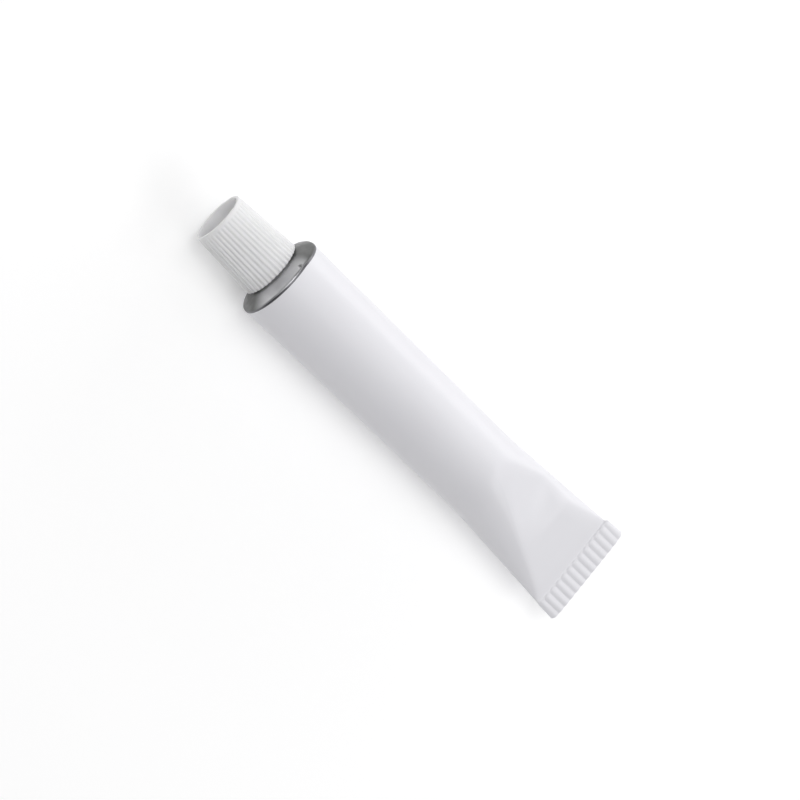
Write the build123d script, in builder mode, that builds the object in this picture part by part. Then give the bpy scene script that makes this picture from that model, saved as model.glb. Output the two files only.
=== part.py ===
"""Collapsible aluminium tube of silicone adhesive, with a ribbed screw cap.

The tube lies on its side, as it comes to rest. +X runs from the cap to the crimped tail,
+Z is up, and the origin is under the middle of the whole length, on the surface below.
Sizes are in millimetres and angles in degrees.
"""

import os
from math import radians, sqrt, tan

from build123d import *

# Driving dimensions of the tube
body_diameter = 19.0
body_length = 62.0  # round stretch, from the shoulder's rim to the start of the tail
rim_radius = 0.6  # rounding between the shoulder and the body
shoulder_angle = 24.0  # slope of the shoulder, from square to the axis
neck_diameter = 9.0
neck_root_radius = 0.4
neck_tip_chamfer = 0.5
orifice_diameter = 5.0
membrane_depth = 0.9  # how far the sealing membrane lies inside the neck's tip
rest_flat_width = 5.0  # flat spot along the underside, where the soft tube rests

# Driving dimensions of the tail
tail_length = 31.1  # from the round body to the foot of the crimped strip
tail_foot_width = 23.5  # flattened tube just before the strip, which is pressed wider
panel_foot_thickness = 0.6
crease_inset = 0.7  # from the end of each crease to the side of the flattened tube
tail_stations = 7  # oval sections that the tail is lofted through
crimp_width = 24.85
crimp_length = 5.5
crimp_thickness = 0.9  # folded layers, measured in a groove
crimp_corner_radius = 0.7
ridge_count = 13
ridge_radius = 0.8

# Driving dimensions of the cap
cap_height = 14.9
cap_base_diameter = 13.25  # over the ribs
cap_top_diameter = 11.6  # over the ribs
rib_count = 40
rib_height = 0.25
rib_radius = 0.36
cap_lip_height = 0.6  # plain band above the ribs
cap_lip_inset = 0.1  # from the crests of the ribs down to the lip
cap_lip_rounding = 0.2
cap_rim_wall = 0.6
skirt_land = 0.5  # flat edge of the skirt; inside it the underside is dished like the shoulder
recess_depth = 6.0
recess_draft = 3.0
web_thickness = 1.0  # floor between the recess and the bore
spike_base_diameter = 4.0
spike_tip_diameter = 0.5
spike_height = 3.5

# Clearances between the cap and the tube
thread_clearance = 0.15  # on the radius
seat_clearance = 0.1  # from the neck's tip to the web
skirt_gap = 0.2  # from the skirt's underside to the shoulder, along the axis

# Radii and depths that follow
body_radius = body_diameter / 2
neck_radius = neck_diameter / 2
tail_foot_half_width = tail_foot_width / 2
skirt_radius = cap_base_diameter / 2
skirt_root_radius = skirt_radius - rib_height
dish_radius = skirt_root_radius - skirt_land
crown_radius = cap_top_diameter / 2
lip_radius = crown_radius - cap_lip_inset
recess_mouth_radius = lip_radius - cap_rim_wall
recess_floor_radius = recess_mouth_radius - recess_depth * tan(radians(recess_draft))
bore_radius = neck_radius + thread_clearance

# Stations along X, from the cap's top to the end of the strip
shoulder_rise = tan(radians(shoulder_angle))
cap_stand_off = (body_radius - dish_radius) * shoulder_rise + skirt_gap
overall_length = cap_height + cap_stand_off + body_length + tail_length + crimp_length
x_crown = -overall_length / 2
x_lip = x_crown + cap_lip_height
x_recess_floor = x_crown + recess_depth
x_web = x_recess_floor + web_thickness
x_neck_tip = x_web + seat_clearance
x_skirt = x_crown + cap_height
x_dish = x_skirt - (dish_radius - bore_radius) * shoulder_rise
x_rim = x_skirt + cap_stand_off
x_neck_root = x_rim - (body_radius - neck_radius) * shoulder_rise
x_tail = x_rim + body_length
x_foot = x_tail + tail_length
x_end = x_foot + crimp_length

# The flat spot brings the axis a little lower than one radius
axis_height = sqrt(body_radius**2 - (rest_flat_width / 2) ** 2)
tube_axis = Axis((0, 0, axis_height), (1, 0, 0))
side_plane = Plane(origin=(0, 0, axis_height), x_dir=(1, 0, 0), z_dir=(0, -1, 0))
flat_plane = Plane(origin=(0, 0, axis_height), x_dir=(1, 0, 0), z_dir=(0, 0, 1))
end_plane = Plane(origin=(0, 0, axis_height), x_dir=(0, 1, 0), z_dir=(1, 0, 0))


def corner_at(sketch, x, y):
    """The vertex of a sketch that lies nearest to a point of its own plane."""
    return sketch.vertices().sort_by_distance((x, y, 0))[0]


def tail_section(share):
    """Half width and half height of the tail's oval, at a share of its length.

    The width grows in a straight line. The height is the one at which the flat panel
    cuts the oval on a straight crease.
    """
    half_width = body_radius + (tail_foot_half_width - body_radius) * share
    panel_height = body_radius + (panel_foot_thickness / 2 - body_radius) * share
    crease_offset = (tail_foot_half_width - crease_inset) * share
    half_height = panel_height / sqrt(1 - (crease_offset / half_width) ** 2)
    return half_width, half_height


# One pressed ridge, drawn along X: a round bar with a ball at its inner end
with BuildPart() as ridge:
    with BuildSketch(Plane.XY):
        with BuildLine():
            ball = CenterArc((ridge_radius, 0), ridge_radius, 90, 90)
            Polyline(ball @ 0, (crimp_length, ridge_radius), (crimp_length, 0), ball @ 1)
        make_face()
    revolve(axis=Axis.X)

with BuildPart() as tube:
    # Neck, shoulder and round body, turned about the axis
    with BuildSketch(side_plane) as turned_profile:
        with BuildLine():
            Polyline(
                (x_neck_tip + membrane_depth, 0),
                (x_neck_tip + membrane_depth, orifice_diameter / 2),
                (x_neck_tip, orifice_diameter / 2),
                (x_neck_tip, neck_radius - neck_tip_chamfer),
                (x_neck_tip + neck_tip_chamfer, neck_radius),
                (x_neck_root, neck_radius),
                (x_rim, body_radius),
                (x_tail, body_radius),
                (x_tail, 0),
                close=True,
            )
        make_face()
        fillet(corner_at(turned_profile, x_neck_root, neck_radius), neck_root_radius)
        fillet(corner_at(turned_profile, x_rim, body_radius), rim_radius)
    revolve(axis=tube_axis)

    # Tail, lofted through ovals from the round body to the foot of the strip
    for station in range(tail_stations):
        share = station / (tail_stations - 1)
        with BuildSketch(end_plane.offset(x_tail + tail_length * share)):
            Ellipse(*tail_section(share))
    loft()

    # Flat triangular panels above and below, with a straight crease along each side
    with BuildSketch(side_plane):
        with BuildLine():
            Polyline(
                (x_tail, body_radius),
                (x_foot, panel_foot_thickness / 2),
                (x_foot, body_radius),
                close=True,
            )
        make_face()
        mirror(about=Plane.XZ)
    extrude(amount=crimp_width, both=True, mode=Mode.SUBTRACT)

    # Folded strip across the end
    with BuildSketch(flat_plane) as strip_outline:
        with Locations(((x_foot + x_end) / 2, 0)):
            Rectangle(crimp_length, crimp_width)
        fillet(strip_outline.vertices().group_by(Axis.X)[-1], crimp_corner_radius)
    extrude(amount=crimp_thickness / 2, both=True)

    # Pressed ridges across the strip, sunk to their middles so that both faces show them
    with Locations((x_foot, 0, axis_height)):
        with GridLocations(0, crimp_width / ridge_count, 1, ridge_count):
            add(ridge.part)

    # Flat spot that the tube rests on
    Box(
        overall_length,
        crimp_width,
        body_radius,
        align=(Align.CENTER, Align.CENTER, Align.MAX),
        mode=Mode.SUBTRACT,
    )

# One grip rib, drawn along Z: a slim bar that leans in and tapers with the skirt
with BuildPart() as rib:
    for x_section, crest_radius in ((x_skirt, skirt_radius), (x_lip, crown_radius)):
        bar_radius = rib_radius * crest_radius / skirt_radius
        with BuildSketch(Plane.XY.offset(x_section)):
            with Locations((0, crest_radius - bar_radius)):
                Circle(bar_radius)
    loft(ruled=True)

with BuildPart() as cap:
    # Skirt, web, rim and piercing spike, turned about the axis
    with BuildSketch(side_plane) as cap_profile:
        with BuildLine():
            Polyline(
                (x_web, 0),
                (x_web, bore_radius),
                (x_dish, bore_radius),
                (x_skirt, dish_radius),
                (x_skirt, skirt_root_radius),
                (x_lip, crown_radius - rib_height),
                (x_lip, lip_radius),
                (x_crown, lip_radius),
                (x_crown, recess_mouth_radius),
                (x_recess_floor, recess_floor_radius),
                (x_recess_floor, spike_base_diameter / 2),
                (x_recess_floor - spike_height, spike_tip_diameter / 2),
                (x_recess_floor - spike_height, 0),
                close=True,
            )
        make_face()
        for rim_edge_radius in (lip_radius, recess_mouth_radius):
            fillet(corner_at(cap_profile, x_crown, rim_edge_radius), cap_lip_rounding)
    revolve(axis=tube_axis)

    # Grip ribs all round the skirt
    with Locations(end_plane):
        with PolarLocations(0, rib_count):
            add(rib.part)

tube.part.label = "tube"
cap.part.label = "cap"

os.makedirs("parts", exist_ok=True)
export_step(tube.part, "parts/tube.step")
export_step(cap.part, "parts/cap.step")
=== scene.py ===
"""Looks of a collapsible white tube of silicone adhesive with a ribbed screw cap.

Lengths are in metres and in the frame's own axes: +X runs from the cap to the crimped tail,
+Z is up, and the tube lies on the floor at Z = 0. Sizes that a designer would quote are
written as so many times MM.
"""

import logging
import math
from collections.abc import Callable, Sequence
from dataclasses import dataclass, field
from enum import Enum

import bmesh
import bpy
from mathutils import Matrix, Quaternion, Vector


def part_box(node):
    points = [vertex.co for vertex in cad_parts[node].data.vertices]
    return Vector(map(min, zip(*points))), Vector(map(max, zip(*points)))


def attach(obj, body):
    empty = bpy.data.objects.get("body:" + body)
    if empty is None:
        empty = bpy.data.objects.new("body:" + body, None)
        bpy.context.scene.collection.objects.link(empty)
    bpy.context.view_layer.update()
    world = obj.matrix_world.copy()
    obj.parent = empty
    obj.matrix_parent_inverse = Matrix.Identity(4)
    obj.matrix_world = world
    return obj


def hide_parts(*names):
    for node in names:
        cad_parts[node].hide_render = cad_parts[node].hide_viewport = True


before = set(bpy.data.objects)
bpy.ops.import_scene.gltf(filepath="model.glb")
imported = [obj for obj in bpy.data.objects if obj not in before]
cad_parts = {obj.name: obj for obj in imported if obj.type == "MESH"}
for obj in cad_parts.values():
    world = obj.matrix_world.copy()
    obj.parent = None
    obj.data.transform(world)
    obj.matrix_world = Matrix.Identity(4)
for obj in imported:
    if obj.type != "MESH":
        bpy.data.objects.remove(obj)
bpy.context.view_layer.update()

MM = 0.001
FULL_TURN = 2 * math.pi
CREASE_ANGLE = math.radians(35)
MERGE_DISTANCE = 0.002 * MM
THREAD_ROOTING = 0.05 * MM  # how far a thread's root lies inside the wall that carries it
SIDE_SQUARENESS = 10  # power of the curve that closes the strip's sides
PRESS_LEAD = 0.2 * MM  # length before the foot in which the pressing starts
END_SHARES = (0.75, 0.0)  # shares of the strip's thickness at the rings that close its end
END_SETBACK = 0.02 * MM  # distance before the end at which the strip's last section is taken
log = logging.getLogger("adhesive_tube")

RadialPoint = tuple[float, float]
Span = tuple[float, float]
Placement = Callable[[float], Vector]


class Body(Enum):
    """The bodies of the frame that pieces ride on."""

    TUBE = "tube"
    CAP = "cap"


class Slot(Enum):
    """The record's material slots."""

    ENAMEL = "white_enamel"
    PLASTIC = "white_plastic"


class TubeZone(Enum):
    """Stretches of the tube's surface, in the order of its material slots."""

    BARE = 0
    RIM = 1
    ENAMEL = 2


def smooth_step(low: float, high: float, value: float) -> float:
    """Rise smoothly from 0 at one value to 1 at another.

    Args:
        low: Value at which the rise starts.
        high: Value at which the rise ends.
        value: Value to judge.

    Returns:
        The share of the rise, from 0 to 1.
    """
    share = min(1.0, max(0.0, (value - low) / (high - low)))
    return share * share * (3 - 2 * share)


def mix(first: float, second: float, share: float) -> float:
    """Return the value at a share of the way from the first to the second."""
    return first + (second - first) * share


def soft_min(first: float, second: float, softness: float) -> float:
    """Return the smaller of two heights, rounded where they cross.

    Args:
        first: One height.
        second: The other height.
        softness: Difference in height over which the two merge.

    Returns:
        The smaller height, lowered a little near the crossing.
    """
    overlap = max(softness - abs(first - second), 0.0) / softness
    return min(first, second) - overlap * overlap * softness / 4


def soft_ramp(share: float, softness: float) -> float:
    """Return 0 before the start and the share itself after it, with a rounded bend.

    Args:
        share: Distance past the start.
        softness: Distance on either side of the start that the bend takes.

    Returns:
        The rounded ramp's value.
    """
    if share <= -softness:
        return 0.0
    if share >= softness:
        return share
    return (share + softness) ** 2 / (4 * softness)


def steps_between(low: float, high: float, count: int) -> list[float]:
    """Return evenly spaced values after the low one, up to and with the high one."""
    return [mix(low, high, (index + 1) / count) for index in range(count)]


def arc_points(
    centre: RadialPoint, radius: float, start_degrees: float, end_degrees: float, count: int
) -> list[RadialPoint]:
    """Return points along a round corner of a turned profile.

    Args:
        centre: The arc's centre, as its place along X and its distance from the axis.
        radius: The arc's radius.
        start_degrees: Direction of the first point, from +X towards the outside.
        end_degrees: Direction of the last point.
        count: How many points, both ends among them.

    Returns:
        The points, as places along X and distances from the axis.
    """
    points = []
    for index in range(count):
        angle = math.radians(mix(start_degrees, end_degrees, index / (count - 1)))
        points.append((centre[0] + radius * math.cos(angle), centre[1] + radius * math.sin(angle)))
    return points


@dataclass(frozen=True)
class Axis:
    """The tube's axis, which is parallel to X.

    Attributes:
        height: Height of the axis above the floor.
    """

    height: float

    def point(self, x: float, radius: float, angle: float) -> Vector:
        """Return the point at an angle that is measured from +Y towards +Z."""
        return Vector((x, radius * math.cos(angle), self.height + radius * math.sin(angle)))

    def angle_of(self, point: Vector) -> float:
        """Return a point's angle about the axis, from 0 to a full turn."""
        return math.atan2(point.z - self.height, point.y) % FULL_TURN

    def lathe(self, profile: Sequence[RadialPoint], steps: int) -> bmesh.types.BMesh:
        """Turn a profile about the axis.

        Args:
            profile: Points along X and their distances from the axis, in order.
            steps: How many steps a full turn takes.

        Returns:
            A mesh whose seam and poles are closed.
        """
        mesh = bmesh.new()
        corners = [mesh.verts.new(self.point(x, radius, 0.0)) for x, radius in profile]
        for first, second in zip(corners, corners[1:]):
            mesh.edges.new((first, second))
        bmesh.ops.spin(
            mesh,
            geom=mesh.verts[:] + mesh.edges[:],
            cent=(0, 0, self.height),
            axis=(1, 0, 0),
            dvec=(0, 0, 0),
            angle=FULL_TURN,
            steps=steps,
            use_merge=True,
        )
        bmesh.ops.remove_doubles(mesh, verts=mesh.verts[:], dist=MERGE_DISTANCE)
        return mesh

    def open_ring(self, mesh: bmesh.types.BMesh) -> list[bmesh.types.BMVert]:
        """Return the corners of a mesh's one open edge loop, in the order of their angles."""
        corners = {corner for edge in mesh.edges if edge.is_boundary for corner in edge.verts}
        return sorted(corners, key=lambda corner: self.angle_of(corner.co))


def extend_ring(
    mesh: bmesh.types.BMesh, ring: list[bmesh.types.BMVert], place: Placement
) -> list[bmesh.types.BMVert]:
    """Extrude an open ring of corners by one step and put the new corners in place.

    Args:
        mesh: The mesh that the ring belongs to.
        ring: The ring's corners in order.
        place: Gives the new corner's place from its angle round the ring.

    Returns:
        The new ring's corners in the same order.
    """
    edges = {edge for corner in ring for edge in corner.link_edges if edge.is_boundary}
    made = bmesh.ops.extrude_edge_only(mesh, edges=list(edges))
    fresh = {item for item in made["geom"] if isinstance(item, bmesh.types.BMVert)}
    new_ring = []
    for index, corner in enumerate(ring):
        partner = next(
            edge.other_vert(corner) for edge in corner.link_edges if edge.other_vert(corner) in fresh
        )
        partner.co = place(FULL_TURN * index / len(ring))
        new_ring.append(partner)
    return new_ring


def finish_piece(
    name: str,
    mesh: bmesh.types.BMesh,
    materials: Sequence[bpy.types.Material],
    body: Body,
    replaced: Body | None = None,
) -> bpy.types.Object:
    """Turn a mesh into a smooth-shaded piece that rides on a body.

    Args:
        name: The piece's name.
        mesh: The finished mesh, which is freed.
        materials: Materials in the order of the faces' material numbers.
        body: The body that the piece rides on.
        replaced: The frame's node that the piece stands for, if it stands for one.

    Returns:
        The new object, with its place in its mesh.
    """
    bmesh.ops.remove_doubles(mesh, verts=mesh.verts[:], dist=MERGE_DISTANCE)
    bmesh.ops.recalc_face_normals(mesh, faces=mesh.faces[:])
    mesh.normal_update()
    for face in mesh.faces:
        face.smooth = True
    for edge in mesh.edges:
        if edge.is_manifold and edge.calc_face_angle() > CREASE_ANGLE:
            edge.smooth = False
    data = bpy.data.meshes.new(name)
    mesh.to_mesh(data)
    mesh.free()
    for material in materials:
        data.materials.append(material)
    piece = bpy.data.objects.new(name, data)
    bpy.context.scene.collection.objects.link(piece)
    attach(piece, body.value)
    if replaced is not None:
        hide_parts(replaced.value)
    data.calc_loop_triangles()
    log.info("%s: %d triangles on body %s", name, len(data.loop_triangles), body.value)
    return piece


class Shader:
    """A material's node tree around one Principled surface."""

    def __init__(self, name: str) -> None:
        """Start a material with a Principled surface.

        Args:
            name: The material's name.
        """
        self.material = bpy.data.materials.new(name)
        self.material.use_nodes = True
        self.tree = self.material.node_tree
        self.tree.nodes.clear()
        self.surface = self.tree.nodes.new("ShaderNodeBsdfPrincipled")
        output = self.tree.nodes.new("ShaderNodeOutputMaterial")
        self.link(self.surface.outputs["BSDF"], output.inputs["Surface"])
        self.coordinates = self.tree.nodes.new("ShaderNodeTexCoord").outputs["Object"]

    def link(self, source: bpy.types.NodeSocket, target: bpy.types.NodeSocket) -> None:
        """Join an output to an input."""
        self.tree.links.new(source, target)

    def set(self, **values: object) -> None:
        """Set constant values on the surface's own sockets.

        Args:
            **values: Socket names with underscores for spaces, and their values.
        """
        for name, value in values.items():
            self.surface.inputs[name.replace("_", " ")].default_value = value

    def noise(
        self, scale: float, detail: float = 2.0, vector: bpy.types.NodeSocket | None = None
    ) -> bpy.types.NodeSocket:
        """Add a noise pattern.

        Args:
            scale: Features per metre.
            detail: Octaves of finer noise.
            vector: Coordinates, or None for the object's own.

        Returns:
            The noise's value, about 0.3 to 0.7.
        """
        node = self.tree.nodes.new("ShaderNodeTexNoise")
        node.inputs["Scale"].default_value = scale
        node.inputs["Detail"].default_value = detail
        self.link(vector or self.coordinates, node.inputs["Vector"])
        return node.outputs["Fac"]

    def stretched(
        self, scale: Sequence[float], offset: Sequence[float] = (0, 0, 0)
    ) -> bpy.types.NodeSocket:
        """Return the object's coordinates, moved and scaled along each axis."""
        node = self.tree.nodes.new("ShaderNodeMapping")
        node.inputs["Scale"].default_value = scale
        node.inputs["Location"].default_value = offset
        self.link(self.coordinates, node.inputs["Vector"])
        return node.outputs["Vector"]

    def math(self, operation: str, *operands: object) -> bpy.types.NodeSocket:
        """Add a math node.

        Args:
            operation: Blender's name of the operation.
            *operands: Numbers or outputs.

        Returns:
            The result.
        """
        node = self.tree.nodes.new("ShaderNodeMath")
        node.operation = operation
        for index, operand in enumerate(operands):
            if isinstance(operand, bpy.types.NodeSocket):
                self.link(operand, node.inputs[index])
            else:
                node.inputs[index].default_value = operand
        return node.outputs["Value"]

    def remap(
        self, value: bpy.types.NodeSocket, source: Span, target: Span
    ) -> bpy.types.NodeSocket:
        """Carry a value smoothly from one range to another.

        Args:
            value: The value.
            source: The range it comes in.
            target: The range it leaves in.

        Returns:
            The remapped value, held inside the target range.
        """
        node = self.tree.nodes.new("ShaderNodeMapRange")
        node.interpolation_type = "SMOOTHSTEP"
        self.link(value, node.inputs["Value"])
        for name, number in zip(("From Min", "From Max", "To Min", "To Max"), (*source, *target)):
            node.inputs[name].default_value = number
        return node.outputs["Result"]

    def blend_colours(
        self, share: bpy.types.NodeSocket, first: Sequence[float], second: Sequence[float]
    ) -> bpy.types.NodeSocket:
        """Mix two colours.

        Args:
            share: 0 for the first colour, 1 for the second.
            first: The first colour.
            second: The second colour.

        Returns:
            The mixed colour.
        """
        node = self.tree.nodes.new("ShaderNodeMix")
        node.data_type = "RGBA"
        self.link(share, node.inputs["Factor"])
        node.inputs["A"].default_value = (*first, 1.0)
        node.inputs["B"].default_value = (*second, 1.0)
        return node.outputs["Result"]

    def bump(self, height: bpy.types.NodeSocket, distance: float) -> bpy.types.NodeSocket:
        """Add a bump.

        Args:
            height: The height pattern.
            distance: Depth in metres of a full step of the pattern.

        Returns:
            The bumped normal.
        """
        node = self.tree.nodes.new("ShaderNodeBump")
        node.inputs["Strength"].default_value = 1.0
        node.inputs["Distance"].default_value = distance
        self.link(height, node.inputs["Height"])
        return node.outputs["Normal"]

    def finish(
        self,
        colour: bpy.types.NodeSocket | None = None,
        roughness: bpy.types.NodeSocket | None = None,
        normal: bpy.types.NodeSocket | None = None,
    ) -> bpy.types.Material:
        """Join the patterns to the surface and return the material."""
        for source, name in ((colour, "Base Color"), (roughness, "Roughness"), (normal, "Normal")):
            if source is not None:
                self.link(source, self.surface.inputs[name])
        return self.material


@dataclass(frozen=True)
class SatinEnamel:
    """Cool white enamel, printed on the metal and a little glossy.

    Attributes:
        thin: Colour where the coat is thinnest.
        thick: Colour where it is thickest.
        roughness: Range of its roughness.
        cloud_scale: Slow variations per metre.
        peel_scale: Grains per metre of its fine orange peel.
        peel_depth: Depth of the orange peel.
    """

    thin: tuple[float, float, float] = (0.772, 0.768, 0.802)
    thick: tuple[float, float, float] = (0.804, 0.8, 0.832)
    roughness: Span = (0.34, 0.38)
    cloud_scale: float = 70.0
    peel_scale: float = 2600.0
    peel_depth: float = 0.0012 * MM

    def material(self) -> bpy.types.Material:
        """Return the enamel's material."""
        shader = Shader("satin_enamel")
        shader.set(Metallic=0.0, IOR=1.5)
        clouds = shader.noise(self.cloud_scale)
        peel = shader.noise(self.peel_scale, detail=1.0)
        return shader.finish(
            colour=shader.blend_colours(clouds, self.thin, self.thick),
            roughness=shader.remap(clouds, (0.2, 0.8), self.roughness),
            normal=shader.bump(peel, self.peel_depth),
        )


@dataclass(frozen=True)
class TurnedAluminium:
    """Bare aluminium of the shoulder and neck, with a painted highlight where it is turned to the light
    and painted shade beside it and in the dent.

    Attributes:
        axis_height: Height of the axis that the marks run round.
        dent: The shoulder's dent, whose colour is painted darker towards its outer end as painted
            shade.
        highlight_colour: Colour of the painted highlight streak.
        shade_colour: Colour of the painted shade beside the streak and in the dent.
        streak_bearing: Direction of the painted highlight streak about the axis, in degrees from +Y
            towards +Z.
        streak_range: Cosines, from the streak's direction, between which the painted highlight fades
            in.
        dent_shade_depth: Distance beyond the fold over which the painted shade in the dent deepens.
        dent_shade_tone: Share of the highlight colour that is left in the dent's painted shade.
        neck_tone: Share of the highlight colour that the neck keeps all round.
        neck_radii: Distances from the axis between which the neck's plain tone gives way.
        patch_tones: Range of the share of its tone that a patch keeps.
        roughness: Range of its roughness.
        mark_scale: Turning marks per metre.
        mark_depth: Depth of the turning marks.
        patch_scale: Patches per metre.
    """

    axis_height: float
    dent: "ShoulderDent"
    highlight_colour: tuple[float, float, float] = (0.62, 0.62, 0.635)
    shade_colour: tuple[float, float, float] = (0.14, 0.142, 0.14)
    streak_bearing: float = 102.0
    streak_range: Span = (0.5, 1.0)
    dent_shade_depth: float = 1.6 * MM
    dent_shade_tone: float = 0.2
    neck_tone: float = 0.6
    neck_radii: Span = (4.6 * MM, 5.4 * MM)
    patch_tones: Span = (0.82, 1.0)
    roughness: Span = (0.3, 0.48)
    mark_scale: float = 3200.0
    mark_depth: float = 0.004 * MM
    patch_scale: float = 420.0

    def material(self) -> bpy.types.Material:
        """Return the bare metal's material, with its painted highlight and painted shade."""
        shader = Shader("turned_aluminium")
        shader.set(Metallic=1.0)
        centred = shader.stretched((1, 1, 1), (0, 0, -self.axis_height))
        split = shader.tree.nodes.new("ShaderNodeSeparateXYZ")
        shader.link(centred, split.inputs["Vector"])
        across, upward = split.outputs["Y"], split.outputs["Z"]
        radius = shader.math(
            "SQRT",
            shader.math("ADD", shader.math("POWER", across, 2.0), shader.math("POWER", upward, 2.0)),
        )
        rings = shader.tree.nodes.new("ShaderNodeCombineXYZ")
        shader.link(radius, rings.inputs["X"])
        shader.link(split.outputs["X"], rings.inputs["Y"])
        marks = shader.noise(self.mark_scale, 2.0, rings.outputs["Vector"])
        patches = shader.noise(self.patch_scale, 3.0)
        # Painted highlight: the colour is brightest on the side that faces the streak's bearing,
        # standing in for the light's reflection, and falls to painted shade away from it.
        towards_streak = self.towards(shader, across, upward, self.streak_bearing)
        facing = shader.math("DIVIDE", towards_streak, radius)
        streak = shader.remap(facing, self.streak_range, (0.0, 1.0))
        # Painted shade: beyond the dent's fold the colour falls towards the shade colour, standing in
        # for the dent's darker reflection.
        beyond_fold = self.towards(shader, across, upward, self.dent.bearing)
        fold = self.dent.fold_distance
        dent_shade_span = (fold, fold + self.dent_shade_depth)
        dent_shade = shader.remap(beyond_fold, dent_shade_span, (1.0, self.dent_shade_tone))
        neck = shader.remap(radius, self.neck_radii, (self.neck_tone, 0.0))
        # The neck keeps a plain tone all round; elsewhere the tone follows the painted highlight and
        # the dent's painted shade.
        tone = shader.math("MAXIMUM", shader.math("MULTIPLY", streak, dent_shade), neck)
        mottled = shader.math("MULTIPLY", tone, shader.remap(patches, (0.3, 0.7), self.patch_tones))
        return shader.finish(
            colour=shader.blend_colours(mottled, self.shade_colour, self.highlight_colour),
            roughness=shader.remap(patches, (0.35, 0.65), self.roughness),
            normal=shader.bump(marks, self.mark_depth),
        )

    def towards(
        self, shader: Shader, across: bpy.types.NodeSocket, upward: bpy.types.NodeSocket, bearing: float
    ) -> bpy.types.NodeSocket:
        """Return how far a point lies from the axis in a direction about it.

        Args:
            shader: The material's node tree.
            across: The point's place along Y from the axis.
            upward: The point's place along Z from the axis.
            bearing: The direction, in degrees from +Y towards +Z.

        Returns:
            The distance in metres.
        """
        angle = math.radians(bearing)
        return shader.math(
            "ADD",
            shader.math("MULTIPLY", across, math.cos(angle)),
            shader.math("MULTIPLY", upward, math.sin(angle)),
        )


@dataclass(frozen=True)
class PaintedShadeRim:
    """Dark, glossy metal where the shoulder turns over into the wall, painted dark as painted shade for
    the dark reflection along the rim.

    Attributes:
        colour: Its colour, dark as painted shade.
        worn: Its colour in worn spots.
        roughness: Range of its roughness.
        wear_scale: Worn spots per metre.
    """

    colour: tuple[float, float, float] = (0.13, 0.13, 0.14)
    worn: tuple[float, float, float] = (0.2, 0.2, 0.21)
    roughness: Span = (0.34, 0.44)
    wear_scale: float = 700.0

    def material(self) -> bpy.types.Material:
        """Return the dark rim band's material, whose dark colour is painted shade."""
        shader = Shader("painted_shade_rim")
        shader.set(Metallic=1.0)
        wear = shader.noise(self.wear_scale)
        return shader.finish(
            colour=shader.blend_colours(wear, self.colour, self.worn),
            roughness=shader.remap(wear, (0.35, 0.65), self.roughness),
        )


@dataclass(frozen=True)
class MouldedPlastic:
    """White moulded plastic of the cap, satin and a little translucent.

    Attributes:
        flow: Colour along the flow lines.
        plain: Colour elsewhere.
        roughness: Range of its roughness.
        glow_through: Share of light that spreads inside the plastic.
        spread: Distance that it spreads.
        flow_scale: Flow lines per metre.
        grain_scale: Grains per metre.
        grain_depth: Depth of the grain.
    """

    flow: tuple[float, float, float] = (0.77, 0.768, 0.776)
    plain: tuple[float, float, float] = (0.81, 0.808, 0.816)
    roughness: Span = (0.34, 0.44)
    glow_through: float = 0.75
    spread: float = 1.0 * MM
    flow_scale: float = 220.0
    grain_scale: float = 3800.0
    grain_depth: float = 0.002 * MM

    def material(self) -> bpy.types.Material:
        """Return the cap's material."""
        shader = Shader("moulded_plastic")
        shader.set(Metallic=0.0, IOR=1.5)
        shader.set(Subsurface_Weight=self.glow_through, Subsurface_Scale=self.spread)
        shader.set(Subsurface_Radius=(1.0, 1.0, 0.95))
        flow = shader.noise(self.flow_scale, 2.0, shader.stretched((0.25, 1, 1)))
        grain = shader.noise(self.grain_scale, 1.0)
        return shader.finish(
            colour=shader.blend_colours(flow, self.flow, self.plain),
            roughness=shader.remap(flow, (0.35, 0.65), self.roughness),
            normal=shader.bump(grain, self.grain_depth),
        )


@dataclass(frozen=True)
class PaleFloor:
    """Matt pale floor that glows faintly, as a lit table does.

    Attributes:
        colour: Its colour.
        glow: Strength of its own light.
    """

    colour: tuple[float, float, float] = (0.92, 0.92, 0.92)
    glow: float = 0.205

    def material(self) -> bpy.types.Material:
        """Return the floor's material."""
        shader = Shader("pale_floor")
        shader.set(Base_Color=(*self.colour, 1.0), Roughness=0.9, Specular_IOR_Level=0.2)
        shader.set(Emission_Color=(1, 1, 1, 1), Emission_Strength=self.glow)
        return shader.finish()


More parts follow.
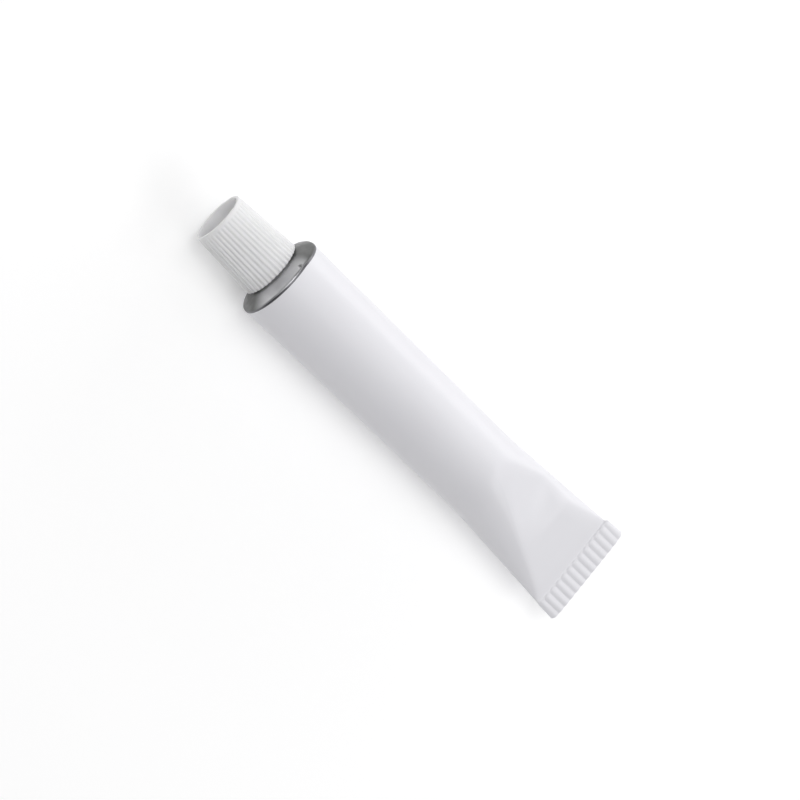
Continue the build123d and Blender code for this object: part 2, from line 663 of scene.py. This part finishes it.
@dataclass(frozen=True)
class ScrewThread:
    """A single-start thread, turned about the tube's axis.

    Attributes:
        root_radius: Radius at its root.
        crest_radius: Radius at its crest, smaller than the root's inside a bore.
        start: Place along X where it starts.
        turns: How many turns it makes.
        pitch: Advance along X in one turn.
        root_width: Width along X at its root.
        crest_width: Width along X at its crest.
        run_out: Turns over which each end fades into its root.
        steps_per_turn: Steps of the mesh in a turn.
    """

    root_radius: float
    crest_radius: float
    start: float
    turns: float
    pitch: float = 1.5 * MM
    root_width: float = 0.95 * MM
    crest_width: float = 0.3 * MM
    run_out: float = 0.3
    steps_per_turn: int = 72

    def mesh(self, axis: Axis) -> bmesh.types.BMesh:
        """Return the thread's mesh.

        Args:
            axis: The tube's axis.

        Returns:
            A closed helical bar whose ends fade into the root.
        """
        mesh = bmesh.new()
        outline = (
            (-self.root_width / 2, self.root_radius),
            (-self.crest_width / 2, self.crest_radius),
            (self.crest_width / 2, self.crest_radius),
            (self.root_width / 2, self.root_radius),
        )
        corners = [
            mesh.verts.new(axis.point(self.start + offset, radius, 0.0))
            for offset, radius in outline
        ]
        face = mesh.faces.new(corners)
        steps = round(self.turns * self.steps_per_turn)
        bmesh.ops.spin(
            mesh,
            geom=[*corners, *face.edges, face],
            cent=(0, 0, axis.height),
            axis=(1, 0, 0),
            dvec=(self.pitch * self.turns / steps, 0, 0),
            angle=FULL_TURN * self.turns,
            steps=steps,
        )
        bmesh.ops.remove_doubles(mesh, verts=mesh.verts[:], dist=MERGE_DISTANCE)
        self.fade_ends(mesh, axis)
        return mesh

    def fade_ends(self, mesh: bmesh.types.BMesh, axis: Axis) -> None:
        """Sink the crest into the root over the run-out at both ends."""
        for corner in mesh.verts:
            turn = (corner.co.x - self.start) / self.pitch
            share = smooth_step(0, self.run_out, turn) * smooth_step(0, self.run_out, self.turns - turn)
            angle = axis.angle_of(corner.co)
            radius = math.hypot(corner.co.y, corner.co.z - axis.height)
            corner.co = axis.point(corner.co.x, mix(self.root_radius, radius, share), angle)


@dataclass(frozen=True)
class ShoulderDent:
    """A dent from handling: the shoulder falls away beyond a straight fold, with a pit at its end.

    Attributes:
        bearing: Direction of the dent's middle about the axis, in degrees from +Y towards +Z.
        fold_distance: Distance of the fold from the axis.
        slope: Extra slope beyond the fold.
        softness: Distance on either side of the fold that its bend takes.
        recovery: Length of wall below the rim over which the dent dies out.
        pit_bearing: Direction of the pit.
        pit_distance: Distance of the pit from the axis.
        pit_radius: Radius of the pit.
        pit_depth: Depth of the pit.
    """

    bearing: float = 22.0
    fold_distance: float = 6.6 * MM
    slope: float = 0.17
    softness: float = 0.15 * MM
    recovery: float = 4.5 * MM
    pit_bearing: float = 71.0
    pit_distance: float = 9.0 * MM
    pit_radius: float = 0.55 * MM
    pit_depth: float = 0.45 * MM

    def push(self, across: float, upward: float) -> float:
        """Return how far the dent pushes a point of the shoulder towards the tail.

        Args:
            across: The point's place along Y from the axis.
            upward: The point's place along Z from the axis.
        """
        bearing = math.radians(self.bearing)
        beyond = across * math.cos(bearing) + upward * math.sin(bearing) - self.fold_distance
        pit = math.radians(self.pit_bearing)
        from_pit = math.hypot(
            across - self.pit_distance * math.cos(pit), upward - self.pit_distance * math.sin(pit)
        )
        sunk = self.pit_depth * smooth_step(self.pit_radius, 0, from_pit)
        return self.slope * soft_ramp(beyond, self.softness) + sunk


@dataclass
class CollapsibleTube:
    """The metal tube: neck, shoulder, round body, flattened tail and crimped strip.

    Attributes:
        neck_tip: Place along X of the neck's tip.
        end: Place along X of the strip's end.
        top: Height of the round body's top.
        strip_half_width: Half the width of the crimped strip.
        body_radius: Radius of the wall at the shoulder.
        flared_radius: Radius of the wall at the tail, where the metal has given a little.
        neck_core_radius: Radius of the neck between the turns of its thread.
        neck_thread_radius: Radius over the thread.
        thread_start: Distance of the thread's start from the neck's tip.
        membrane_depth: How far the sealing membrane lies inside the neck's tip.
        bare_beyond_rim: Bare wall between the shoulder's corner and the enamel.
        shaded_rim_width: Width of the dark band, painted as shade, next to the enamel.
        left_foot: Half width of the tail's foot on the photograph's left, at negative Y.
        right_foot: Half width of the tail's foot on its right.
        crease_foot: Distance of each crease from the middle at the foot.
        right_crease_bulge: How far the right crease swings out along its way.
        bulge_shares: Shares of the tail's length at which the bulge starts and peaks.
        panel_foot: Height of the panel above the axis at the foot.
        left_softness: Height over which the left crease is rounded.
        right_softness: Height over which the right crease is rounded.
        upper_tilt: Sideways slope of the twisted facet at the panel's apex.
        upper_tilt_shares: Shares of the tail's length between which the facet levels out.
        bend_softness: Share of the tail's length that its first bend takes, on either side.
        strip_foot_inset: How much narrower the strip is at its foot, on each side.
        widening: Length past the foot over which the strip gains its width.
        pressing: Length past the foot over which it is pressed to its thickness.
        groove_height: Height of a groove's floor above the strip's middle.
        ridge_height: Height of a ridge's crest above the strip's middle.
        ridge_fullness: Power of the ridges' wave, below 1 for round crests and narrow grooves.
        steps: Corners round each section.
        tail_lead: Share of the tail's length by which its sections start early.
        tail_rings: Sections of the tail.
        spread: How evenly the corners lie across the flattened tube, from 0 to 1.
    """

    neck_tip: float
    end: float
    top: float
    strip_half_width: float

    body_radius: float = 9.5 * MM
    flared_radius: float = 9.6 * MM
    body_length: float = 62.0 * MM
    tail_length: float = 31.1 * MM
    strip_length: float = 5.5 * MM

    neck_core_radius: float = 4.05 * MM
    neck_thread_radius: float = 4.5 * MM
    thread_start: float = 0.9 * MM
    thread_turns: float = 3.2
    orifice_radius: float = 2.5 * MM
    membrane_depth: float = 0.9 * MM
    neck_edge: float = 0.3 * MM
    neck_root_fillet: float = 0.4 * MM
    shoulder_degrees: float = 24.0
    rim_radius: float = 0.6 * MM
    bare_beyond_rim: float = 0.63 * MM
    shaded_rim_width: float = 0.42 * MM
    dent: ShoulderDent = ShoulderDent()

    left_foot: float = 12.0 * MM
    right_foot: float = 11.55 * MM
    crease_foot: float = 11.05 * MM
    bulge_shares: Span = (0.3, 0.6)
    right_crease_bulge: float = 0.8 * MM
    panel_foot: float = 0.3 * MM
    left_softness: float = 0.3 * MM
    right_softness: float = 1.1 * MM
    upper_tilt: float = 0.24
    upper_tilt_shares: Span = (0.62, 0.3)
    bend_softness: float = 0.1

    strip_foot_inset: float = 0.3 * MM
    widening: float = 0.7 * MM
    pressing: float = 0.25 * MM
    groove_height: float = 0.5 * MM
    ridge_height: float = 0.78 * MM
    ridge_count: int = 13
    ridge_fullness: float = 0.5
    corner_radius: float = 0.7 * MM

    steps: int = 440
    tail_lead: float = 0.16
    tail_rings: int = 88
    spread: float = 0.6

    axis: Axis = field(init=False)

    def __post_init__(self) -> None:
        """Work out the stations along X and the axis from the frame's corners."""
        self.axis = Axis(self.top - self.body_radius)
        self.foot = self.end - self.strip_length
        self.tail = self.foot - self.tail_length
        self.rim = self.tail - self.body_length
        self.slope = math.tan(math.radians(self.shoulder_degrees))
        self.enamel_start = self.rim + self.bare_beyond_rim
        self.dented_end = self.enamel_start + self.dent.recovery
        self.body_end = self.tail - self.tail_lead * self.tail_length
        self.press_start = self.foot - PRESS_LEAD
        self.ridge_pitch = 2 * self.strip_half_width / self.ridge_count

    def turned_profile(self) -> list[RadialPoint]:
        """Return the lathe profile from the sealing membrane to the end of the plain body."""
        membrane = self.neck_tip + self.membrane_depth
        points = [
            (membrane, 0.0),
            (membrane, self.orifice_radius - self.neck_edge / 2),
            (membrane - self.neck_edge / 2, self.orifice_radius),
            (self.neck_tip + self.neck_edge / 2, self.orifice_radius),
            (self.neck_tip, self.orifice_radius + self.neck_edge / 2),
            (self.neck_tip, self.neck_core_radius - self.neck_edge),
            (self.neck_tip + self.neck_edge, self.neck_core_radius),
        ]
        root = self.rim - (self.body_radius - self.neck_core_radius) * self.slope
        neck_end = root - self.neck_root_fillet
        points += [(x, self.neck_core_radius) for x in steps_between(points[-1][0], neck_end, 6)]
        tilt = self.shoulder_degrees
        reach = self.neck_root_fillet * math.tan(math.radians(45 - tilt / 2))
        centre = (root - reach, self.neck_core_radius + self.neck_root_fillet)
        points += arc_points(centre, self.neck_root_fillet, -90, -tilt, 6)
        rim_arc = arc_points(self.rim_centre(), self.rim_radius, 180 - tilt, 90, 9)
        inner, outer = points[-1], rim_arc[0]
        points += [
            (mix(inner[0], outer[0], share), mix(inner[1], outer[1], share))
            for share in steps_between(0, 1, 24)
        ]
        points += rim_arc[1:]
        points.append((self.enamel_start, self.body_radius))
        wall = steps_between(self.enamel_start, self.dented_end, 8)
        wall += steps_between(self.dented_end, self.body_end, 12)
        points += [(x, self.wall_radius(x)) for x in wall]
        return points

    def rim_centre(self) -> RadialPoint:
        """Return the centre of the rounding between the shoulder and the wall."""
        tilt = math.radians(self.shoulder_degrees)
        radius = self.body_radius - self.rim_radius
        along = self.rim - self.rim_radius * self.slope + self.rim_radius / math.cos(tilt)
        return (along, radius)

    def wall_radius(self, x: float) -> float:
        """Return the round wall's radius, which grows very slightly towards the tail."""
        return mix(self.body_radius, self.flared_radius, smooth_step(self.rim, self.tail, x))

    def tail_corner(self, x: float, angle: float) -> Vector:
        """Place one corner of an oval section of the tail.

        Args:
            x: The section's place along X.
            angle: The corner's angle round the section.

        Returns:
            The corner's place, on the oval or on the flat panel that cuts it.
        """
        share = (x - self.tail) / self.tail_length
        ramp = soft_ramp(share, self.bend_softness)
        across = self.spread_cosine(angle, smooth_step(0, 1, share) * self.spread)
        rightness = smooth_step(-1, 1, across)
        crease = self.crease_foot * ramp
        bulge_start, bulge_peak = self.bulge_shares
        bulge = self.right_crease_bulge * smooth_step(bulge_start, bulge_peak, share)
        bulge *= smooth_step(1, bulge_peak, share)
        right_crease = crease + bulge
        panel = mix(self.flared_radius, self.panel_foot, ramp)
        left_width = mix(self.flared_radius, self.left_foot, ramp)
        right_width = mix(self.flared_radius, self.right_foot, ramp)
        left_height = panel / math.sqrt(1 - (crease / left_width) ** 2)
        right_height = panel / math.sqrt(1 - (right_crease / right_width) ** 2)
        oval = mix(left_height, right_height, rightness) * math.sqrt(max(0.0, 1 - across * across))
        y = (right_width if across > 0 else left_width) * across
        tilt = self.upper_tilt * smooth_step(*self.upper_tilt_shares, share)
        flat = mix(self.flared_radius, self.panel_foot, share) - tilt * max(0.0, y + crease)
        softness = mix(self.left_softness, self.right_softness, rightness)
        height = soft_min(oval, flat, softness)
        return Vector((x, y, self.height_above_floor(height, angle)))

    def spread_cosine(self, angle: float, share: float) -> float:
        """Return a corner's place across a section, from -1 to 1.

        Args:
            angle: The corner's angle round the section.
            share: 0 for corners spaced as on a circle, 1 for corners spaced evenly across.
        """
        upper = angle if angle <= math.pi else FULL_TURN - angle
        return mix(math.cos(angle), 1 - 2 * upper / math.pi, share)

    def height_above_floor(self, height: float, angle: float) -> float:
        """Return a corner's height on the upper or the lower side, never below the floor."""
        signed = height if angle <= math.pi else -height
        return max(0.0, self.axis.height + signed)

    def strip_corner(self, x: float, angle: float) -> Vector:
        """Place one corner of the crimped strip.

        Args:
            x: The section's place along X.
            angle: The corner's angle round the section.

        Returns:
            The corner's place, on a pressed ridge or in a groove between two.
        """
        across = self.spread_cosine(angle, self.spread)
        foot = self.right_foot if across > 0 else self.left_foot
        flare = (self.end - x) / self.strip_length
        full_width = self.strip_half_width - self.strip_foot_inset * flare
        half_width = mix(foot, full_width, smooth_step(-PRESS_LEAD, self.widening, x - self.foot))
        into_corner = max(0.0, x - (self.end - self.corner_radius))
        half_width -= self.corner_radius - math.sqrt(max(0.0, self.corner_radius**2 - into_corner**2))
        y = half_width * across
        height = mix(self.groove_height, self.ridge_height, self.ridge(x, y))
        side_rounding = math.sqrt(max(0.0, 1 - across**SIDE_SQUARENESS))
        return Vector((x, y, self.height_above_floor(height * side_rounding, angle)))

    def ridge(self, x: float, y: float) -> float:
        """Return the height of the nearest ridge at a point, from 0 in a groove to 1 on a crest."""
        nearest = round(y / self.ridge_pitch)
        outermost = (self.ridge_count - 1) // 2
        nearest = max(-outermost, min(outermost, nearest))
        half_pitch = self.ridge_pitch / 2
        ball_centre = self.foot + half_pitch
        from_ridge = math.hypot(min(0.0, x - ball_centre), y - nearest * self.ridge_pitch) / half_pitch
        if from_ridge >= 1:
            return 0.0
        return (0.5 + 0.5 * math.cos(math.pi * from_ridge)) ** self.ridge_fullness

    def shell_mesh(self) -> bmesh.types.BMesh:
        """Return the whole tube's mesh, from the membrane to the closed end of the strip."""
        mesh = self.axis.lathe(self.turned_profile(), self.steps)
        ring = self.axis.open_ring(mesh)
        for corner in mesh.verts:
            corner.co.z = max(0.0, corner.co.z)
        for x in steps_between(self.body_end, self.press_start, self.tail_rings):
            ring = extend_ring(mesh, ring, lambda angle, x=x: self.tail_corner(x, angle))
        for x in self.strip_stations():
            ring = extend_ring(mesh, ring, lambda angle, x=x: self.strip_or_foot(x, angle))
        for share in END_SHARES:
            ring = extend_ring(mesh, ring, lambda angle, share=share: self.end_corner(angle, share))
        for face in mesh.faces:
            face.material_index = self.zone_of(face.calc_center_median()).value
        self.press_dent(mesh)
        return mesh

    def press_dent(self, mesh: bmesh.types.BMesh) -> None:
        """Press the dent into the shoulder and let the wall below it recover."""
        neck_foot = self.neck_core_radius + self.neck_root_fillet
        for corner in mesh.verts:
            upward = corner.co.z - self.axis.height
            on_shoulder = math.hypot(corner.co.y, upward) > neck_foot
            if on_shoulder and corner.co.x < self.dented_end:
                share = smooth_step(self.dented_end, self.enamel_start, corner.co.x)
                corner.co.x += share * self.dent.push(corner.co.y, upward)

    def strip_stations(self) -> list[float]:
        """Return the stations along the strip, closest at its foot and at its end."""
        ridge_start = self.foot + 1.3 * MM
        corner = self.end - self.corner_radius
        stations = steps_between(self.press_start, ridge_start, 15)
        stations += steps_between(ridge_start, corner, 8)
        stations += [
            corner + self.corner_radius * math.sin(math.radians(degrees))
            for degrees in (15, 30, 45, 60, 72, 82)
        ]
        return stations

    def strip_or_foot(self, x: float, angle: float) -> Vector:
        """Place a corner where the panel passes into the strip, or on the strip itself."""
        pressed = self.strip_corner(x, angle)
        plain = self.tail_corner(min(x, self.foot), angle)
        place = plain.lerp(pressed, smooth_step(self.press_start, self.foot + self.pressing, x))
        place.x = x
        return place

    def end_corner(self, angle: float, share: float) -> Vector:
        """Place a corner on the strip's cut end, at a share of its thickness."""
        edge = self.strip_corner(self.end - END_SETBACK, angle)
        return Vector((self.end, edge.y, mix(self.axis.height, edge.z, share)))

    def zone_of(self, point: Vector) -> TubeZone:
        """Return the zone that a point of the surface lies in."""
        if point.x > self.enamel_start:
            return TubeZone.ENAMEL
        # The dark rim band next to the enamel is painted shade.
        in_shaded_rim = point.x > self.enamel_start - self.shaded_rim_width
        return TubeZone.RIM if in_shaded_rim else TubeZone.BARE

    def neck_thread(self) -> ScrewThread:
        """Return the thread round the neck."""
        return ScrewThread(
            root_radius=self.neck_core_radius - THREAD_ROOTING,
            crest_radius=self.neck_thread_radius,
            start=self.neck_tip + self.thread_start,
            turns=self.thread_turns,
        )

    def build(self) -> list[bpy.types.Object]:
        """Build and dress the tube's pieces.

        Returns:
            The shell and its neck thread.
        """
        bare = TurnedAluminium(self.axis.height, self.dent).material()
        finishes = {
            TubeZone.BARE: bare,
            TubeZone.RIM: PaintedShadeRim().material(),
            TubeZone.ENAMEL: SatinEnamel().material(),
        }
        shell = finish_piece(
            "tube_body",
            self.shell_mesh(),
            [finishes[zone] for zone in TubeZone],
            Body.TUBE,
            replaced=Body.TUBE,
        )
        thread = finish_piece(
            "neck_thread", self.neck_thread().mesh(self.axis), [bare], Body.TUBE
        )
        return [shell, thread]


@dataclass
class RibbedCap:
    """The screw cap: ribbed skirt, plain lip, deep recess with a piercing spike, threaded bore.

    Attributes:
        axis: The tube's axis.
        crown: Place along X of the cap's top.
        skirt: Place along X of the skirt's edge.
        skirt_radius: Radius over the ribs at the skirt's edge.
        neck_thread: The thread that the cap screws on to.
        crown_radius: Radius over the ribs where they end, below the lip.
        rib_radius: Radius of the round bar that a rib is part of, at the skirt.
        rib_run_out: Length over which the ribs fade into the lip.
        rib_start: Share of the grooves' full depth just below the lip.
        rib_growth: Length over which the grooves deepen to the full depth.
        lip_inset: From the ribs' crests down to the plain lip.
        rim_wall: Width of the rim between the lip and the recess.
        skirt_land: Flat edge of the skirt, outside the dish that follows the shoulder.
        recess_draft: Taper of the recess's wall, in degrees.
        web: Thickness of the floor between the recess and the bore.
        bore_thread_crest: Radius of the bore at the crest of its thread.
        wall_rings: Rings of corners along the ribbed wall.
    """

    axis: Axis
    crown: float
    skirt: float
    skirt_radius: float
    neck_thread: ScrewThread

    crown_radius: float = 5.8 * MM
    rib_count: int = 40
    rib_height: float = 0.25 * MM
    rib_radius: float = 0.36 * MM
    rib_run_out: float = 0.6 * MM
    rib_start: float = 0.5
    rib_growth: float = 6.0 * MM
    lip_height: float = 0.6 * MM
    lip_inset: float = 0.1 * MM
    rounding: float = 0.2 * MM
    rim_wall: float = 0.6 * MM
    skirt_land: float = 0.5 * MM
    skirt_edge: float = 0.06 * MM
    shoulder_degrees: float = 24.0
    recess_depth: float = 6.0 * MM
    recess_draft: float = 3.0
    web: float = 1.0 * MM
    bore_radius: float = 4.65 * MM
    bore_thread_crest: float = 4.2 * MM
    bore_thread_root_width: float = 0.7 * MM
    bore_thread_crest_width: float = 0.25 * MM
    spike_base: float = 2.0 * MM
    spike_tip: float = 0.25 * MM
    spike_height: float = 3.5 * MM
    steps_per_rib: int = 16
    wall_rings: int = 12

    def __post_init__(self) -> None:
        """Work out the stations and radii that follow."""
        self.lip = self.crown + self.lip_height
        self.floor = self.crown + self.recess_depth
        self.web_under = self.floor + self.web
        self.skirt_root = self.skirt_radius - self.rib_height
        self.crown_root = self.crown_radius - self.rib_height
        self.lip_radius = self.crown_radius - self.lip_inset
        self.mouth_radius = self.lip_radius - self.rim_wall
        draft = math.tan(math.radians(self.recess_draft))
        self.floor_radius = self.mouth_radius - self.recess_depth * draft
        self.dish_radius = self.skirt_root - self.skirt_land
        slope = math.tan(math.radians(self.shoulder_degrees))
        self.dish_depth = (self.dish_radius - self.bore_radius) * slope

    def profile(self) -> list[RadialPoint]:
        """Return the lathe profile from the middle of the bore's end to the spike's tip."""
        points = [(self.web_under, 0.0), (self.web_under, self.bore_radius - self.rounding)]
        web_corner = (self.web_under + self.rounding, self.bore_radius - self.rounding)
        points += arc_points(web_corner, self.rounding, 180, 90, 5)
        points += [(self.skirt - self.dish_depth, self.bore_radius), (self.skirt, self.dish_radius)]
        wall_start, run_out_start = self.skirt - self.skirt_edge, self.lip + self.rib_run_out
        points += [(self.skirt, self.skirt_root - self.skirt_edge), (wall_start, self.skirt_root)]
        wall = steps_between(wall_start, run_out_start, self.wall_rings)
        wall += steps_between(run_out_start, self.lip, 6)
        points += [(x, self.root_radius(x)) for x in wall]
        points += arc_points(
            (self.crown + self.rounding, self.lip_radius - self.rounding), self.rounding, 90, 180, 6
        )
        points += arc_points(
            (self.crown + self.rounding, self.mouth_radius + self.rounding), self.rounding, 180, 270, 6
        )
        points += [
            (mix(self.crown, self.floor, share), mix(self.mouth_radius, self.floor_radius, share))
            for share in steps_between(self.rounding / self.recess_depth, 0.96, 8)
        ]
        points.append((self.floor, self.floor_radius - self.rounding))
        points.append((self.floor, self.spike_base + self.rounding))
        points += [
            (self.floor - self.spike_height * share, mix(self.spike_base, self.spike_tip, share))
            for share in (0.05, 0.5, 0.97)
        ]
        spike_point = self.floor - self.spike_height
        points += [(spike_point, self.spike_tip * 0.6), (spike_point, 0.0)]
        return points

    def root_radius(self, x: float) -> float:
        """Return the radius between the ribs at a place along the skirt."""
        return mix(self.skirt_root, self.crown_root, (self.skirt - x) / (self.skirt - self.lip))

    def rib_rise(self, angle: float, scale: float) -> float:
        """Return how far a rib stands out at an angle.

        Args:
            angle: Angle about the axis.
            scale: Size of the rib's round bar at this place, from 0 to 1.
        """
        pitch = FULL_TURN / self.rib_count
        offset = (angle + pitch / 2) % pitch - pitch / 2
        bar = self.rib_radius * scale
        aside = abs(offset) * self.skirt_root * scale
        if aside >= bar:
            return 0.0
        return max(0.0, math.sqrt(bar * bar - aside * aside) - (bar - self.rib_height))

    def raise_ribs(self, mesh: bmesh.types.BMesh) -> None:
        """Press the grip ribs out of the skirt's outer wall, lower towards the lip they fade into."""
        for corner in mesh.verts:
            radius = math.hypot(corner.co.y, corner.co.z - self.axis.height)
            root = self.root_radius(corner.co.x)
            on_wall = self.lip - MERGE_DISTANCE < corner.co.x and radius > root - 1.5 * self.skirt_edge
            if not on_wall:
                continue
            angle = self.axis.angle_of(corner.co)
            along = corner.co.x - self.lip
            fullness = mix(self.rib_start, 1.0, smooth_step(0, self.rib_growth, along))
            crest = radius + self.rib_height
            ribbed = crest - fullness * (self.rib_height - self.rib_rise(angle, root / self.skirt_root))
            fade = smooth_step(self.rib_run_out, 0, along)
            corner.co = self.axis.point(corner.co.x, mix(ribbed, self.lip_radius, fade), angle)

    def shell_mesh(self) -> bmesh.types.BMesh:
        """Return the mesh of the whole cap but its thread."""
        mesh = self.axis.lathe(self.profile(), self.rib_count * self.steps_per_rib)
        self.raise_ribs(mesh)
        return mesh

    def bore_thread(self) -> ScrewThread:
        """Return the thread inside the bore, which runs midway between the neck's turns."""
        mate = self.neck_thread
        return ScrewThread(
            root_radius=self.bore_radius + THREAD_ROOTING,
            crest_radius=self.bore_thread_crest,
            start=mate.start + mate.pitch / 2,
            turns=mate.turns - mate.run_out,
            root_width=self.bore_thread_root_width,
            crest_width=self.bore_thread_crest_width,
        )

    def build(self) -> list[bpy.types.Object]:
        """Build and dress the cap's pieces.

        Returns:
            The shell and its thread.
        """
        plastic = MouldedPlastic().material()
        shell = finish_piece(
            "cap_shell", self.shell_mesh(), [plastic], Body.CAP, replaced=Body.CAP
        )
        thread = finish_piece(
            "cap_thread", self.bore_thread().mesh(self.axis), [plastic], Body.CAP
        )
        return [shell, thread]


@dataclass(frozen=True)
class Softbox:
    """A large soft light that faces the origin.

    Attributes:
        name: The light's name.
        bearing: Its direction round Z, in degrees from +X towards +Y.
        elevation: Its direction above the floor, in degrees.
        power: Its power in watts.
        colour: Its colour.
        distance: How far it stands from the origin.
        size: Its width and height.
    """

    name: str
    bearing: float
    elevation: float
    power: float
    colour: tuple[float, float, float] = (1.0, 1.0, 1.0)
    distance: float = 0.9
    size: tuple[float, float] = (0.45, 0.3)

    def build(self) -> bpy.types.Object:
        """Add the light to the scene, turned to the origin."""
        data = bpy.data.lights.new(self.name, "AREA")
        data.shape = "RECTANGLE"
        data.size, data.size_y = self.size
        data.energy = self.power
        data.color = self.colour
        light = bpy.data.objects.new(self.name, data)
        bearing, elevation = math.radians(self.bearing), math.radians(self.elevation)
        outward = Vector(
            (
                math.cos(bearing) * math.cos(elevation),
                math.sin(bearing) * math.cos(elevation),
                math.sin(elevation),
            )
        )
        light.location = outward * self.distance
        light.rotation_mode = "QUATERNION"
        light.rotation_quaternion = (-outward).to_track_quat("-Z", "Y")
        bpy.context.scene.collection.objects.link(light)
        return light


@dataclass
class Studio:
    """The floor, the lights and the camera.

    Attributes:
        axis_height: Height of the tube's axis, which the camera's heights are measured from.
        camera_place: Where the camera stands.
        camera_target: The point at the middle of its picture.
        camera_roll: Its turn about its own line of sight, in degrees.
        lens: Its focal length, in millimetres on a sensor 36 mm wide.
        floor_size: Length of the floor's sides.
        ambient: Colour of the plain room around the lights.
        lights: The soft lights, from straight above round to the cap's end.
    """

    axis_height: float
    camera_place: tuple[float, float, float] = (-0.12948, -0.05303, 0.30233)
    camera_target: tuple[float, float, float] = (-0.0037, -0.00088, 0.0)
    camera_roll: float = 109.584
    lens: float = 72.463
    floor_size: float = 6.0
    ambient: tuple[float, float, float] = (0.26, 0.26, 0.262)
    lights: tuple[Softbox, ...] = (
        Softbox("top_light", 0, 90, 1.0),
        Softbox("tail_light", 0, 45, 1.13),
        Softbox("corner_light", 45, 45, 0.72),
        Softbox("side_light", 60, 25, 0.48),
        Softbox("low_side_light", 60, 8, 1.04),
        Softbox("low_cross_light", 90, 8, 1.4),
        Softbox("high_side_light", 120, 68, 1.28),
        Softbox("cap_light", 180, 68, 1.47),
    )

    def build_floor(self) -> None:
        """Lay the pale floor under the object."""
        mesh = bmesh.new()
        bmesh.ops.create_grid(mesh, x_segments=1, y_segments=1, size=self.floor_size / 2)
        data = bpy.data.meshes.new("floor")
        mesh.to_mesh(data)
        mesh.free()
        data.materials.append(PaleFloor().material())
        floor = bpy.data.objects.new("floor", data)
        bpy.context.scene.collection.objects.link(floor)

    def build_world(self) -> None:
        """Surround the floor with a plain room and show colours as they are."""
        scene = bpy.context.scene
        scene.world = bpy.data.worlds.new("studio")
        scene.world.use_nodes = True
        background = scene.world.node_tree.nodes["Background"]
        background.inputs["Color"].default_value = (*self.ambient, 1.0)
        scene.view_settings.view_transform = "Standard"
        scene.view_settings.look = "None"

    def build_camera(self) -> None:
        """Set up the camera at the photograph's viewing angle."""
        data = bpy.data.cameras.new("camera")
        data.lens = self.lens
        data.clip_start = 0.01
        camera = bpy.data.objects.new("camera", data)
        axis = Vector((0, 0, self.axis_height))
        place = axis + Vector(self.camera_place)
        camera.location = place
        camera.rotation_mode = "QUATERNION"
        sight = (axis + Vector(self.camera_target) - place).to_track_quat("-Z", "Y")
        camera.rotation_quaternion = sight @ Quaternion((0, 0, 1), math.radians(self.camera_roll))
        bpy.context.scene.collection.objects.link(camera)
        bpy.context.scene.camera = camera

    def build(self) -> None:
        """Build the floor, the lights and the camera."""
        self.build_floor()
        self.build_world()
        for light in self.lights:
            light.build()
        self.build_camera()


def main() -> None:
    """Build the object's pieces and the studio round them, in order."""
    logging.basicConfig(level=logging.INFO, format="%(name)s: %(message)s")
    tube_low, tube_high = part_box("tube")
    cap_low, cap_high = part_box("cap")
    tube = CollapsibleTube(
        neck_tip=tube_low.x, end=tube_high.x, top=tube_high.z, strip_half_width=tube_high.y
    )
    cap = RibbedCap(
        axis=tube.axis,
        crown=cap_low.x,
        skirt=cap_high.x,
        skirt_radius=cap_high.y,
        neck_thread=tube.neck_thread(),
    )
    pieces = tube.build() + cap.build()
    log.info("built %s", ", ".join(piece.name for piece in pieces))
    Studio(tube.axis.height).build()


if __name__ == "__main__":
    main()
